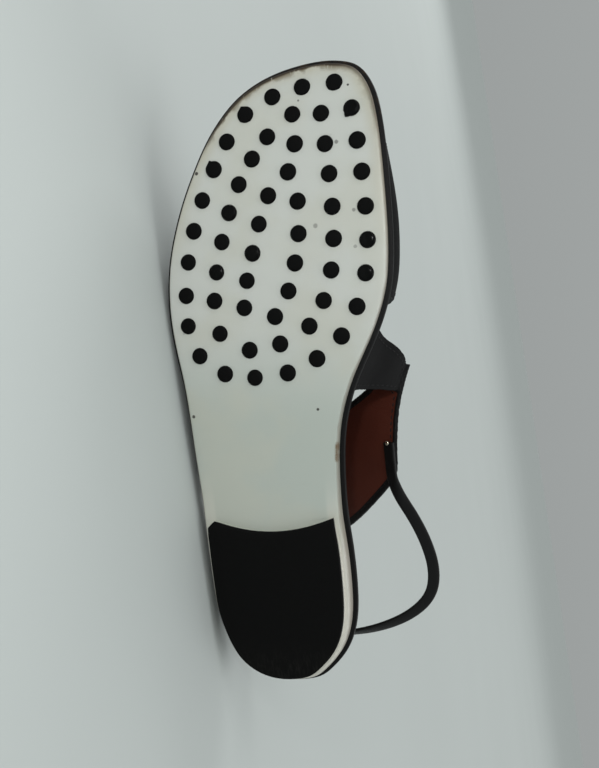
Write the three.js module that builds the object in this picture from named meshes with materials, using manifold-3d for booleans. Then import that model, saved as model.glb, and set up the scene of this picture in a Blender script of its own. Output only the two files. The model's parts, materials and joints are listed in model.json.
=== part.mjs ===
import * as THREE from "three";
import { ConvexHull } from "three/addons/math/ConvexHull.js";
import { mergeVertices } from "three/addons/utils/BufferGeometryUtils.js";
import Module from "manifold-3d";

const wasm = await Module();
wasm.setup();

// A right-foot sandal. It is modelled in the shoe's frame, in millimetres: X points to the lateral
// side, Y from the heel to the toe, Z up from the tread. The group then lays it on its lateral side.

// Driving dimensions of the last and the sole
const soleLength = 261;
const ballWidth = 96.6;
const heelWidth = 62.5;
const instepHeight = 52;
const clearance = 0.3;

// Outsole
const treadLift = 1.2;
const outsoleThickness = 2.4;
const heelBase = 4.2;
const heelSeat = 9;
const toeSpring = 4;
const edgeRound = 0.9;

// Heel lift
const liftThickness = 2;
const liftInset = 2.2;
const liftBevel = 0.4;
const liftFrontCorner = 73.5;
const liftHollow = 5.2;
const liftChamfer = 3;

// Studs and their sheet
const studDiameter = 6.7;
const studFlat = 4.4;
const studDome = 1.1;
const studSides = 9;
const sheetThickness = 1;
const sheetBorder = 8;

// Midsole and insole
const midsoleThickness = 4.4;
const midsoleOverhang = 2;
const midsoleRound = 1.2;
const insoleThickness = 2;
const insoleGap = 0.5;

// Leather
const upperWall = 2.2;
const overlayStep = 0.7;
const strapWidth = 5.6;
const strapThickness = 2;
const strapCorner = 0.5;

// Buckle, in its own axes: along the strap, across it and outward
const frameLength = 13;
const frameWidth = 12.4;
const frameBar = 2;
const frameThickness = 1.8;
const frameBevel = 0.3;
const prongDiameter = 1.4;
const foldThickness = 1.1;
const buckleStrapThickness = 2.2;
const buckleStrapLength = 27.5;
const keeperWidth = 4;
const keeperWall = 1.1;
const keeperPlace = 16;
const strapTail = 24;
const bucklePlace = new THREE.Vector3(0.3 * ballWidth, 0.183 * soleLength, 0.82 * instepHeight);
const buckleTurn = 0.11;
const buckleRise = -0.03;

// Sole outline: one row for each point, from the back of the heel along the lateral side.
// along is a share of soleLength, across a share of the width named in its table.
const heelLateral = [
  { along: 0.0, across: 0.0 },
  { along: 0.006, across: 0.152 },
  { along: 0.024, across: 0.286 },
  { along: 0.048, across: 0.37 },
  { along: 0.084, across: 0.442 },
  { along: 0.117, across: 0.486 },
  { along: 0.167, across: 0.515 },
  { along: 0.235, across: 0.544 },
  { along: 0.304, across: 0.566 },
  { along: 0.363, across: 0.598 },
];
const foreLateral = [
  { along: 0.487, across: 0.424 },
  { along: 0.566, across: 0.469 },
  { along: 0.625, across: 0.487 },
  { along: 0.696, across: 0.477 },
  { along: 0.779, across: 0.418 },
  { along: 0.843, across: 0.346 },
  { along: 0.899, across: 0.268 },
  { along: 0.952, across: 0.151 },
  { along: 0.977, across: 0.044 },
  { along: 0.992, across: -0.077 },
  { along: 1.0, across: -0.245 },
];
const foreMedial = [
  { along: 0.994, across: -0.342 },
  { along: 0.982, across: -0.392 },
  { along: 0.952, across: -0.442 },
  { along: 0.901, across: -0.475 },
  { along: 0.797, across: -0.502 },
  { along: 0.704, across: -0.512 },
  { along: 0.644, across: -0.502 },
  { along: 0.599, across: -0.467 },
  { along: 0.557, across: -0.421 },
  { along: 0.513, across: -0.358 },
  { along: 0.452, across: -0.3 },
];
const heelMedial = [
  { along: 0.399, across: -0.426 },
  { along: 0.27, across: -0.429 },
  { along: 0.233, across: -0.454 },
  { along: 0.153, across: -0.48 },
  { along: 0.112, across: -0.477 },
  { along: 0.08, across: -0.45 },
  { along: 0.053, across: -0.398 },
  { along: 0.029, across: -0.314 },
  { along: 0.009, across: -0.216 },
];

// Heights along the sole: base is the underside, seat the top of the outsole, as shares of their rise.
const soleHeights = [
  { along: 0.0, base: 1.0, seat: 1.0, toe: 0.0 },
  { along: 0.171, base: 0.9, seat: 0.98, toe: 0.0 },
  { along: 0.279, base: 0.66, seat: 0.8, toe: 0.0 },
  { along: 0.387, base: 0.34, seat: 0.42, toe: 0.0 },
  { along: 0.485, base: 0.0, seat: 0.1, toe: 0.0 },
  { along: 0.563, base: 0.0, seat: 0.0, toe: 0.0 },
  { along: 0.798, base: 0.0, seat: 0.0, toe: 0.0 },
  { along: 0.877, base: 0.0, seat: 0.0, toe: 0.14 },
  { along: 0.936, base: 0.0, seat: 0.0, toe: 0.45 },
  { along: 1.0, base: 0.0, seat: 0.0, toe: 1.0 },
];

// Stud rings, from the outer one inward. Each row holds a stud and the number of studs between it
// and the next row's, spaced along a smooth closed curve.
const studRings = [
  [
    { along: 0.964, across: -0.294, between: 0 },
    { along: 0.962, across: -0.153, between: 0 },
    { along: 0.951, across: -0.02, between: 0 },
    { along: 0.927, across: 0.103, between: 0 },
    { along: 0.886, across: 0.189, between: 1 },
    { along: 0.795, across: 0.31, between: 1 },
    { along: 0.696, across: 0.386, between: 1 },
    { along: 0.591, across: 0.396, between: 0 },
    { along: 0.541, across: 0.345, between: 0 },
    { along: 0.511, across: 0.227, between: 1 },
    { along: 0.511, across: -0.063, between: 1 },
    { along: 0.568, across: -0.307, between: 1 },
    { along: 0.665, across: -0.417, between: 1 },
    { along: 0.768, across: -0.423, between: 1 },
    { along: 0.87, across: -0.393, between: 0 },
    { along: 0.921, across: -0.37, between: 0 },
  ],
  [
    { along: 0.917, across: -0.237, between: 0 },
    { along: 0.92, across: -0.11, between: 0 },
    { along: 0.888, across: 0.003, between: 1 },
    { along: 0.816, across: 0.137, between: 1 },
    { along: 0.726, across: 0.223, between: 1 },
    { along: 0.631, across: 0.267, between: 0 },
    { along: 0.577, across: 0.246, between: 0 },
    { along: 0.549, across: 0.109, between: 1 },
    { along: 0.585, across: -0.166, between: 1 },
    { along: 0.672, across: -0.269, between: 1 },
    { along: 0.771, across: -0.28, between: 1 },
    { along: 0.869, across: -0.254, between: 0 },
  ],
  [
    { along: 0.873, across: -0.12, between: 0 },
    { along: 0.83, across: -0.088, between: 0 },
    { along: 0.795, across: 0.004, between: 1 },
    { along: 0.705, across: 0.083, between: 0 },
    { along: 0.6615, across: 0.112, between: 0 },
    { along: 0.618, across: 0.128, between: 0 },
    { along: 0.602, across: -0.012, between: 0 },
    { along: 0.642, across: -0.076, between: 1 },
    { along: 0.732, across: -0.128, between: 0 },
    { along: 0.783, across: -0.128, between: 0 },
  ],
];

// The last over the sole: height of the upper's middle line and its crest, by place along the sole.
const lastHeights = [
  { along: 0.0, height: 1.06 },
  { along: 0.21, height: 1.05 },
  { along: 0.426, height: 1.0 },
  { along: 0.504, height: 0.93 },
  { along: 0.592, height: 0.78 },
  { along: 0.7, height: 0.6 },
  { along: 0.798, height: 0.48 },
  { along: 0.897, height: 0.36 },
  { along: 1.0, height: 0.26 },
];

// Bands of the upper. turn runs over the foot, 0 at the lateral edge of the sole and 1 at the medial
// one. front and back are the band's edges as shares of soleLength, frontSpread and backSpread move
// those edges sideways as shares of ballWidth, lateral positive, belly moves its middle further, and
// rise lifts the band as a share of instepHeight.
const forefootBand = [
  { turn: 0.0, front: 0.769, back: 0.475, frontSpread: 0.0, backSpread: 0.0, belly: 0.0, rise: 0.0 },
  { turn: 0.08, front: 0.777, back: 0.481, frontSpread: 0.006, backSpread: 0.004, belly: 0.0, rise: 0.0 },
  { turn: 0.2, front: 0.794, back: 0.504, frontSpread: 0.006, backSpread: 0.004, belly: 0.0, rise: 0.0 },
  { turn: 0.5, front: 0.833, back: 0.568, frontSpread: 0.0, backSpread: 0.0, belly: 0.0, rise: 0.0 },
  { turn: 0.78, front: 0.863, back: 0.612, frontSpread: -0.004, backSpread: -0.012, belly: -0.014, rise: 0.0 },
  { turn: 0.9, front: 0.874, back: 0.624, frontSpread: -0.008, backSpread: -0.02, belly: -0.022, rise: 0.0 },
  { turn: 0.96, front: 0.878, back: 0.629, frontSpread: -0.006, backSpread: -0.016, belly: -0.016, rise: 0.0 },
  { turn: 1.0, front: 0.88, back: 0.632, frontSpread: 0.0, backSpread: 0.0, belly: 0.0, rise: 0.0 },
];
const instepBand = [
  { turn: 0.0, front: 0.578, back: 0.326, frontSpread: 0.0, backSpread: 0.0, belly: 0.0, rise: 0.0 },
  { turn: 0.04, front: 0.575, back: 0.323, frontSpread: 0.002, backSpread: 0.016, belly: 0.0, rise: 0.0 },
  { turn: 0.1, front: 0.565, back: 0.308, frontSpread: 0.006, backSpread: 0.04, belly: 0.004, rise: 0.0 },
  { turn: 0.18, front: 0.539, back: 0.281, frontSpread: 0.018, backSpread: 0.06, belly: 0.006, rise: 0.0 },
  { turn: 0.3, front: 0.485, back: 0.23, frontSpread: 0.034, backSpread: 0.06, belly: 0.0, rise: 0.0 },
  { turn: 0.45, front: 0.436, back: 0.2, frontSpread: 0.014, backSpread: 0.02, belly: 0.0, rise: 0.0 },
  { turn: 0.58, front: 0.428, back: 0.202, frontSpread: -0.012, backSpread: -0.012, belly: 0.0, rise: 0.0 },
  { turn: 0.66, front: 0.445, back: 0.226, frontSpread: -0.045, backSpread: -0.045, belly: 0.0, rise: -0.01 },
  { turn: 0.73, front: 0.485, back: 0.264, frontSpread: -0.118, backSpread: -0.118, belly: 0.0, rise: -0.02 },
  { turn: 0.8, front: 0.518, back: 0.318, frontSpread: -0.222, backSpread: -0.222, belly: 0.0, rise: 0.02 },
];
const medialBand = [
  { turn: 0.785, front: 0.508, back: 0.478, frontSpread: -0.208, backSpread: -0.208, belly: 0.0, rise: 0.02 },
  { turn: 0.82, front: 0.524, back: 0.472, frontSpread: -0.192, backSpread: -0.19, belly: 0.0, rise: 0.03 },
  { turn: 0.88, front: 0.548, back: 0.477, frontSpread: -0.118, backSpread: -0.11, belly: 0.0, rise: 0.0 },
  { turn: 0.93, front: 0.562, back: 0.479, frontSpread: -0.045, backSpread: -0.045, belly: 0.0, rise: 0.0 },
  { turn: 0.97, front: 0.573, back: 0.48, frontSpread: -0.014, backSpread: -0.014, belly: 0.0, rise: 0.0 },
  { turn: 1.0, front: 0.58, back: 0.48, frontSpread: 0.0, backSpread: 0.0, belly: 0.0, rise: 0.0 },
];
const lastSquareness = 0.7;
const lastFullness = 0.9;

// Ankle strap after it leaves the instep band: along is a share of soleLength, across of ballWidth,
// up of instepHeight, and upright says how far the strap's width has turned from level to upright.
const ankleLoop = [
  { along: 0.284, across: -0.462, up: 0.876, upright: 0.0 },
  { along: 0.247, across: -0.518, up: 0.925, upright: 0.0 },
  { along: 0.2, across: -0.572, up: 0.985, upright: 0.05 },
  { along: 0.15, across: -0.603, up: 1.04, upright: 0.12 },
  { along: 0.102, across: -0.586, up: 1.08, upright: 0.2 },
  { along: 0.063, across: -0.493, up: 1.105, upright: 0.3 },
  { along: 0.034, across: -0.342, up: 1.11, upright: 0.45 },
  { along: 0.019, across: -0.17, up: 1.09, upright: 0.65 },
  { along: 0.019, across: 0.02, up: 1.04, upright: 0.85 },
  { along: 0.038, across: 0.17, up: 0.96, upright: 1.0 },
  { along: 0.074, across: 0.25, up: 0.885, upright: 1.0 },
];
const ankleStart = { turn: 0.787, place: 0.36 };
const ankleLeave = { turn: 0.793, place: 0.02 };

// Interpolates a table's column at a place along it, smoothly and without overshoot.
function column(rows, key, name, value) {
  const last = rows.length - 1;
  if (value <= rows[0][key]) return rows[0][name];
  if (value >= rows[last][key]) return rows[last][name];
  const i = rows.findIndex((row) => row[key] > value) - 1;
  const slope = (a, b) => (rows[b][name] - rows[a][name]) / (rows[b][key] - rows[a][key]);
  const tangent = (k) => {
    if (k === 0) return slope(0, 1);
    if (k === last) return slope(last - 1, last);
    const before = slope(k - 1, k);
    const after = slope(k, k + 1);
    return before * after <= 0 ? 0 : (2 * before * after) / (before + after);
  };
  const span = rows[i + 1][key] - rows[i][key];
  const u = (value - rows[i][key]) / span;
  const start = rows[i][name];
  const end = rows[i + 1][name];
  const bend = u * u * (3 - 2 * u);
  const lead = u * (1 - u) * (1 - u) * span * tangent(i);
  const trail = u * u * (u - 1) * span * tangent(i + 1);
  return start + (end - start) * bend + lead + trail;
}

// Outline as a closed polygon, moved outward by offset.
function closedPoints(rows, count) {
  const curve = new THREE.CatmullRomCurve3(rows, true, "centripetal");
  return curve.getSpacedPoints(count).slice(0, count);
}
const outlineRows = [
  ...heelLateral.map((row) => new THREE.Vector3(row.across * heelWidth, row.along * soleLength, 0)),
  ...foreLateral.map((row) => new THREE.Vector3(row.across * ballWidth, row.along * soleLength, 0)),
  ...foreMedial.map((row) => new THREE.Vector3(row.across * ballWidth, row.along * soleLength, 0)),
  ...heelMedial.map((row) => new THREE.Vector3(row.across * heelWidth, row.along * soleLength, 0)),
];
const outlineCount = 400;
const outline = closedPoints(outlineRows, outlineCount);
function offsetOutline(offset) {
  return outline.map((point, i) => {
    const before = outline[(i + outlineCount - 1) % outlineCount];
    const after = outline[(i + 1) % outlineCount];
    const along = new THREE.Vector3().subVectors(after, before).normalize();
    return new THREE.Vector2(point.x + along.y * offset, point.y - along.x * offset);
  });
}

// Lateral and medial sides of the outline, moved outward by offset, as functions of Y.
function sidesOf(offset) {
  const ring = offsetOutline(offset);
  const ys = ring.map((point) => point.y);
  const start = Math.min(...ys);
  const end = Math.max(...ys);
  const crossings = (y) => {
    const found = [];
    ring.forEach((a, i) => {
      const b = ring[(i + 1) % ring.length];
      if (a.y <= y !== b.y <= y) found.push(a.x + ((b.x - a.x) * (y - a.y)) / (b.y - a.y));
    });
    return found.length ? found : [ring[ys.indexOf(y < 0.5 * soleLength ? start : end)].x];
  };
  return {
    start,
    end,
    lateral: (y) => Math.max(...crossings(y)),
    medial: (y) => Math.min(...crossings(y)),
  };
}

const baseRise = (y) => (heelBase - treadLift) * column(soleHeights, "along", "base", y / soleLength);
const seatRise = (y) =>
  (heelSeat - treadLift - outsoleThickness) * column(soleHeights, "along", "seat", y / soleLength);
const springRise = (y) => toeSpring * column(soleHeights, "along", "toe", y / soleLength);
const outsoleBottom = (y) => treadLift + baseRise(y) + springRise(y);
const outsoleTop = (y) => treadLift + outsoleThickness + seatRise(y) + springRise(y);
const midsoleBottom = (y) => outsoleTop(y) + clearance;
const midsoleTop = (y) => midsoleBottom(y) + midsoleThickness;
const insoleBottom = (y) => midsoleTop(y) + clearance;
const strapFoot = midsoleOverhang - midsoleRound - upperWall / 2 - 0.2;
const insoleInset = upperWall / 2 - strapFoot + insoleGap;

// Solids
function solidOf(geometry) {
  const bare = geometry.clone();
  bare.deleteAttribute("normal");
  bare.deleteAttribute("uv");
  const merged = mergeVertices(bare, 1e-4);
  return new wasm.Manifold(
    new wasm.Mesh({
      numProp: 3,
      vertProperties: merged.attributes.position.array,
      triVerts: new Uint32Array(merged.index.array),
    }),
  );
}

function geometryOf(points, faces) {
  const geometry = new THREE.BufferGeometry();
  const values = new Float32Array(points.flatMap((point) => [point.x, point.y, point.z]));
  geometry.setAttribute("position", new THREE.BufferAttribute(values, 3));
  geometry.setIndex(faces.flat());
  return geometry;
}

// A stack of sole outlines, each at its own offset and height, closed at both ends.
const soleStations = 38;
function stack(layers) {
  const points = [];
  const faces = [];
  const ringSize = 2 * soleStations;
  const rings = layers.map((layer) => {
    const sides = sidesOf(layer.offset);
    const first = points.length;
    const lateral = [];
    const medial = [];
    for (let i = 0; i <= soleStations; i += 1) {
      const share = 0.5 - 0.5 * Math.cos((Math.PI * i) / soleStations);
      const blend = 0.8 * share + 0.2 * (i / soleStations);
      const y = sides.start + (sides.end - sides.start) * blend;
      lateral.push(new THREE.Vector3(sides.lateral(y), y, layer.height(y)));
      medial.push(new THREE.Vector3(sides.medial(y), y, layer.height(y)));
    }
    points.push(...lateral, ...medial.slice(1, -1).reverse());
    return first;
  });
  const across = (first, i) => (i === 0 || i === soleStations ? first + i : first + ringSize - i);
  rings.forEach((first, k) => {
    if (k === rings.length - 1) return;
    const next = rings[k + 1];
    for (let i = 0; i < ringSize; i += 1) {
      const j = (i + 1) % ringSize;
      faces.push([first + i, first + j, next + j], [first + i, next + j, next + i]);
    }
  });
  [rings[0], rings[rings.length - 1]].forEach((first, top) => {
    for (let i = 0; i < soleStations; i += 1) {
      const corners = [first + i, first + i + 1, across(first, i + 1), across(first, i)];
      const order = top ? corners : corners.slice().reverse();
      if (order[0] !== order[3] && order[0] !== order[1]) faces.push([order[0], order[1], order[3]]);
      if (order[1] !== order[2] && order[2] !== order[3]) faces.push([order[1], order[2], order[3]]);
    }
  });
  return solidOf(geometryOf(points, faces.filter((face) => new Set(face).size === 3)));
}

function extruded(shape, settings) {
  return new THREE.ExtrudeGeometry(shape, { bevelEnabled: false, steps: 1, ...settings });
}

const heelSpacing = 3.2;
// Heel shape: the inset outline behind a concave front edge with a chamfer at its lateral corner.
function heelShape(inset) {
  const ring = offsetOutline(-inset);
  const front = liftFrontCorner - inset * 0.5;
  const lateralFront = front - liftChamfer;
  const sides = sidesOf(-inset);
  const behind = (limit) => ring.filter((point) => point.y < limit - 0.5);
  const lateralBack = behind(lateralFront - liftChamfer)
    .filter((point) => point.x > 0)
    .sort((a, b) => a.y - b.y);
  const medialBack = behind(front)
    .filter((point) => point.x <= 0)
    .sort((a, b) => b.y - a.y);
  const lateralX = sides.lateral(lateralFront);
  const medialX = sides.medial(front);
  const points = [...lateralBack, new THREE.Vector2(lateralX, lateralFront - liftChamfer)];
  const steps = 12;
  const span = lateralX - liftChamfer - medialX;
  for (let i = 0; i <= steps; i += 1) {
    const u = i / steps;
    const level = lateralFront + (front - lateralFront) * u;
    points.push(new THREE.Vector2(medialX + span * (1 - u), level - 4 * liftHollow * u * (1 - u)));
  }
  points.push(...medialBack);
  let kept = points[0];
  const spaced = points.filter((point) => {
    const corner = point.x === lateralX || point.x === medialX;
    if (point !== kept && !corner && point.distanceTo(kept) < heelSpacing) return false;
    kept = point;
    return true;
  });
  return new THREE.Shape(spaced);
}

// Studs
function studCentres() {
  return studRings.flatMap((rows) => {
    const places = rows.map((row) => new THREE.Vector3(row.across * ballWidth, row.along * soleLength, 0));
    const curve = new THREE.CatmullRomCurve3(places, true, "centripetal");
    return rows.flatMap((row, i) =>
      Array.from({ length: row.between + 1 }, (_, k) => {
        return curve.getPoint((i + k / (row.between + 1)) / rows.length);
      }),
    );
  });
}
const studs = studCentres();

function lathe(profile, sides, at) {
  const geometry = new THREE.LatheGeometry(profile, sides);
  geometry.rotateX(Math.PI / 2);
  geometry.translate(at.x, at.y, at.z);
  return solidOf(geometry);
}

function studSolid(centre) {
  const radius = studDiameter / 2;
  const lift = springRise(centre.y);
  const top = midsoleBottom(centre.y) - clearance - sheetThickness / 2 - lift;
  const profile = [
    new THREE.Vector2(0, 0),
    new THREE.Vector2(studFlat / 2, 0),
    new THREE.Vector2(radius, studDome),
    new THREE.Vector2(radius, top),
    new THREE.Vector2(0, top),
  ];
  return lathe(profile, studSides, new THREE.Vector3(centre.x, centre.y, lift));
}

function studHole(centre) {
  const radius = studDiameter / 2 + clearance;
  const depth = 2 * (outsoleThickness + toeSpring) + treadLift;
  const profile = [
    new THREE.Vector2(0, -depth),
    new THREE.Vector2(radius, -depth),
    new THREE.Vector2(radius, depth),
    new THREE.Vector2(0, depth),
  ];
  return lathe(profile, studSides, centre);
}

// The sheet lies in a recess of the outsole's top, sheetBorder inside its edge and up to the waist.
const recessBack = 0.455 * soleLength;
const recessTop = (y) => outsoleTop(y) - sheetThickness;
function foreCut(from) {
  const reach = soleLength;
  const shape = new THREE.Shape();
  shape.moveTo(-reach, from);
  shape.lineTo(reach, from);
  shape.lineTo(reach, from + 2 * reach);
  shape.lineTo(-reach, from + 2 * reach);
  const geometry = extruded(shape, { depth: reach });
  geometry.translate(0, 0, -reach / 2);
  return solidOf(geometry);
}

function makeStudSheet() {
  const plate = stack([
    { offset: -sheetBorder - clearance, height: (y) => recessTop(y) + clearance },
    { offset: -sheetBorder - clearance, height: (y) => outsoleTop(y) },
  ]);
  const sheet = plate.intersect(foreCut(recessBack + clearance));
  return wasm.Manifold.union([sheet, ...studs.map(studSolid)]);
}

function makeOutsole() {
  const body = stack([
    { offset: -edgeRound, height: outsoleBottom },
    { offset: -0.3 * edgeRound, height: (y) => outsoleBottom(y) + 0.3 * edgeRound },
    { offset: 0, height: (y) => outsoleBottom(y) + edgeRound },
    { offset: 0, height: outsoleTop },
  ]);
  const blockBottom = liftThickness + clearance;
  const block = extruded(heelShape(liftInset), { depth: heelBase + 1 - blockBottom });
  block.translate(0, 0, blockBottom);
  const recess = stack([
    { offset: -sheetBorder, height: recessTop },
    { offset: -sheetBorder, height: (y) => outsoleTop(y) + outsoleThickness },
  ]).intersect(foreCut(recessBack));
  const whole = body.add(solidOf(block)).subtract(recess);
  return whole.subtract(wasm.Manifold.union(studs.map(studHole)));
}

function makeHeelLift() {
  const geometry = extruded(heelShape(liftInset + liftBevel), {
    depth: liftThickness - 2 * liftBevel,
    bevelEnabled: true,
    bevelThickness: liftBevel,
    bevelSize: liftBevel,
    bevelSegments: 1,
  });
  geometry.translate(0, 0, liftBevel);
  return solidOf(geometry);
}

function makeMidsole() {
  return stack([
    { offset: midsoleOverhang - 0.5 * midsoleRound, height: midsoleBottom },
    { offset: midsoleOverhang, height: (y) => midsoleBottom(y) + 0.5 * midsoleRound },
    { offset: midsoleOverhang - 0.15 * midsoleRound, height: (y) => midsoleTop(y) - 0.7 * midsoleRound },
    { offset: midsoleOverhang - midsoleRound, height: midsoleTop },
  ]);
}

function makeInsole() {
  const top = (y) => insoleBottom(y) + insoleThickness;
  return stack([
    { offset: -insoleInset, height: insoleBottom },
    { offset: -insoleInset, height: (y) => top(y) - 0.3 * insoleThickness },
    { offset: -insoleInset - 0.5 * insoleThickness, height: top },
  ]);
}

// Upper: a point of the last's surface, then a band as a grid of such points, then its wall.
const rimSides = sidesOf(strapFoot);
function lastPoint(y, turn, spread, rise) {
  const lateral = rimSides.lateral(y);
  const medial = rimSides.medial(y);
  const angle = Math.PI * turn;
  const cos = Math.cos(angle);
  const level = Math.sign(cos) * Math.abs(cos) ** lastSquareness;
  const lift = Math.max(Math.sin(angle), 0) ** lastFullness;
  const height = instepHeight * column(lastHeights, "along", "height", y / soleLength);
  return new THREE.Vector3(
    (lateral + medial) / 2 + ((lateral - medial) / 2) * level + spread * ballWidth,
    y,
    midsoleTop(y) + clearance + height * lift + rise * instepHeight,
  );
}

function bandPoint(rows, turn, place, outward) {
  const front = column(rows, "turn", "front", turn) * soleLength;
  const back = column(rows, "turn", "back", turn) * soleLength;
  const frontSpread = column(rows, "turn", "frontSpread", turn);
  const backSpread = column(rows, "turn", "backSpread", turn);
  const side = turn < 0.5 ? 1 : -1;
  const belly = column(rows, "turn", "belly", turn) * 4 * place * (1 - place);
  const spread = backSpread + (frontSpread - backSpread) * place + belly + (side * outward) / ballWidth;
  return lastPoint(back + (front - back) * place, turn, spread, column(rows, "turn", "rise", turn));
}

function bandNormal(rows, turn, place, outward) {
  const step = 0.002;
  const first = rows[0].turn;
  const last = rows[rows.length - 1].turn;
  const before = bandPoint(rows, Math.max(turn - step, first), place, outward);
  const after = bandPoint(rows, Math.min(turn + step, last), place, outward);
  const behind = bandPoint(rows, turn, place - step, outward);
  const ahead = bandPoint(rows, turn, place + step, outward);
  const normal = after.sub(before).cross(ahead.sub(behind));
  const foot = turn < 0.001 || turn > 0.999;
  if (foot) normal.z = 0;
  return normal.normalize().negate();
}

function makeBand(rows, turns, places, outward) {
  const points = [];
  const faces = [];
  const first = rows[0].turn;
  const last = rows[rows.length - 1].turn;
  for (const side of [-1, 1])
    for (let i = 0; i <= turns; i += 1)
      for (let j = 0; j <= places; j += 1) {
        const turn = first + ((last - first) * i) / turns;
        const place = j / places;
        const normal = bandNormal(rows, turn, place, outward);
        const middle = bandPoint(rows, turn, place, outward);
        points.push(middle.addScaledVector(normal, (side * upperWall) / 2));
      }
  const layer = (turns + 1) * (places + 1);
  const at = (i, j, side) => side * layer + i * (places + 1) + j;
  const quad = (a, b, c, d) => faces.push([a, b, c], [a, c, d]);
  for (let i = 0; i < turns; i += 1)
    for (let j = 0; j < places; j += 1) {
      quad(at(i, j, 0), at(i + 1, j, 0), at(i + 1, j + 1, 0), at(i, j + 1, 0));
      quad(at(i, j, 1), at(i, j + 1, 1), at(i + 1, j + 1, 1), at(i + 1, j, 1));
    }
  for (let i = 0; i < turns; i += 1) {
    quad(at(i, 0, 0), at(i, 0, 1), at(i + 1, 0, 1), at(i + 1, 0, 0));
    quad(at(i, places, 0), at(i + 1, places, 0), at(i + 1, places, 1), at(i, places, 1));
  }
  for (let j = 0; j < places; j += 1) {
    quad(at(0, j, 0), at(0, j + 1, 0), at(0, j + 1, 1), at(0, j, 1));
    quad(at(turns, j, 0), at(turns, j, 1), at(turns, j + 1, 1), at(turns, j + 1, 0));
  }
  return solidOf(geometryOf(points, faces));
}

function makeUpper() {
  const forefoot = makeBand(forefootBand, 20, 7, 0);
  const instep = makeBand(instepBand, 22, 6, overlayStep);
  const medial = makeBand(medialBand, 9, 4, 0);
  return wasm.Manifold.union([forefoot, instep, medial]);
}

// Buckle axes
const buckleAlong = new THREE.Vector3(Math.sin(buckleTurn), Math.cos(buckleTurn), buckleRise).normalize();
const buckleOut = new THREE.Vector3(Math.cos(buckleTurn), -Math.sin(buckleTurn), 0);
const buckleAcross = new THREE.Vector3().crossVectors(buckleAlong, buckleOut).normalize();
const buckleAxes = new THREE.Matrix4()
  .makeBasis(buckleAlong, buckleOut, buckleAcross)
  .setPosition(bucklePlace);
const bucklePoint = (along, out) => new THREE.Vector3(along, out, 0).applyMatrix4(buckleAxes);
// Puts a geometry drawn in the buckle's own axes (along, out, across) into the shoe's frame.
const onBuckle = (geometry) => solidOf(geometry.applyMatrix4(buckleAxes));

const barPlace = (frameLength - frameBar) / 2;
const barHole = Math.hypot(frameBar, frameThickness) / 2 + clearance;
const foldRadius = barHole + foldThickness;
const eyeRadius = barHole + 0.6 * prongDiameter;
const strapOver = foldRadius + clearance + strapThickness / 2;
const strapUnder = -frameThickness / 2 - clearance - strapThickness / 2;
const strapLevel = buckleStrapThickness / 2 + clearance + strapThickness / 2;

function roundedRectangle(length, width, corner) {
  const shape = new THREE.Shape();
  const x = length / 2;
  const y = width / 2;
  shape.moveTo(-x + corner, -y);
  shape.lineTo(x - corner, -y);
  shape.absarc(x - corner, -y + corner, corner, -Math.PI / 2, 0);
  shape.absarc(x - corner, y - corner, corner, 0, Math.PI / 2);
  shape.absarc(-x + corner, y - corner, corner, Math.PI / 2, Math.PI);
  shape.absarc(-x + corner, -y + corner, corner, Math.PI, 1.5 * Math.PI);
  return shape;
}

function makeBuckleFrame() {
  const shape = roundedRectangle(frameLength - 2 * frameBevel, frameWidth - 2 * frameBevel, 2);
  const openLength = frameLength - 2 * frameBar + 2 * frameBevel;
  const openWidth = frameWidth - 2 * frameBar + 2 * frameBevel;
  const hole = roundedRectangle(openLength, openWidth, 0.8);
  shape.holes.push(new THREE.Path(hole.getPoints(3).reverse()));
  const geometry = extruded(shape, {
    depth: frameThickness - 2 * frameBevel,
    bevelEnabled: true,
    bevelThickness: frameBevel,
    bevelSize: frameBevel,
    bevelSegments: 1,
    curveSegments: 3,
  });
  geometry.translate(0, 0, frameBevel - frameThickness / 2);
  geometry.rotateX(-Math.PI / 2);
  return onBuckle(geometry);
}

function makeBuckleStrap() {
  const shape = new THREE.Shape();
  const half = buckleStrapThickness / 2;
  const open = Math.asin(half / foldRadius);
  shape.moveTo(buckleStrapLength, -half);
  shape.lineTo(buckleStrapLength, half);
  shape.absarc(barPlace, 0, foldRadius, open, 2 * Math.PI - open, false);
  const hole = new THREE.Path();
  hole.absarc(barPlace, 0, barHole, 0, 2 * Math.PI, true);
  shape.holes.push(hole);
  const strap = extruded(shape, { depth: strapWidth, curveSegments: 7 });
  strap.translate(0, 0, -strapWidth / 2);
  const slotWidth = prongDiameter + 2 * clearance;
  const slot = new THREE.BoxGeometry(2 * (eyeRadius + clearance), 4 * foldRadius, slotWidth);
  slot.translate(barPlace, 0, 0);
  return onBuckle(strap).subtract(onBuckle(slot));
}

function makeBuckleProng() {
  const radius = prongDiameter / 2;
  const eye = new THREE.Shape();
  eye.absarc(barPlace, 0, eyeRadius, 0, 2 * Math.PI, false);
  const bore = new THREE.Path();
  bore.absarc(barPlace, 0, barHole, 0, 2 * Math.PI, true);
  eye.holes.push(bore);
  const ring = extruded(eye, { depth: prongDiameter, curveSegments: 7 });
  ring.translate(0, 0, -radius);
  const tip = new THREE.Vector3(-barPlace - frameBar / 2 - 0.4, frameThickness / 2 + clearance + radius, 0);
  const root = new THREE.Vector3(barPlace - barHole - 0.3 * prongDiameter, 0.3 * prongDiameter, 0);
  const rod = new THREE.CylinderGeometry(radius, 0.8 * radius, root.distanceTo(tip), 8);
  rod.applyQuaternion(
    new THREE.Quaternion().setFromUnitVectors(
      new THREE.Vector3(0, 1, 0),
      new THREE.Vector3().subVectors(root, tip).normalize(),
    ),
  );
  rod.translate((root.x + tip.x) / 2, (root.y + tip.y) / 2, 0);
  return onBuckle(ring).add(onBuckle(rod));
}

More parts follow.
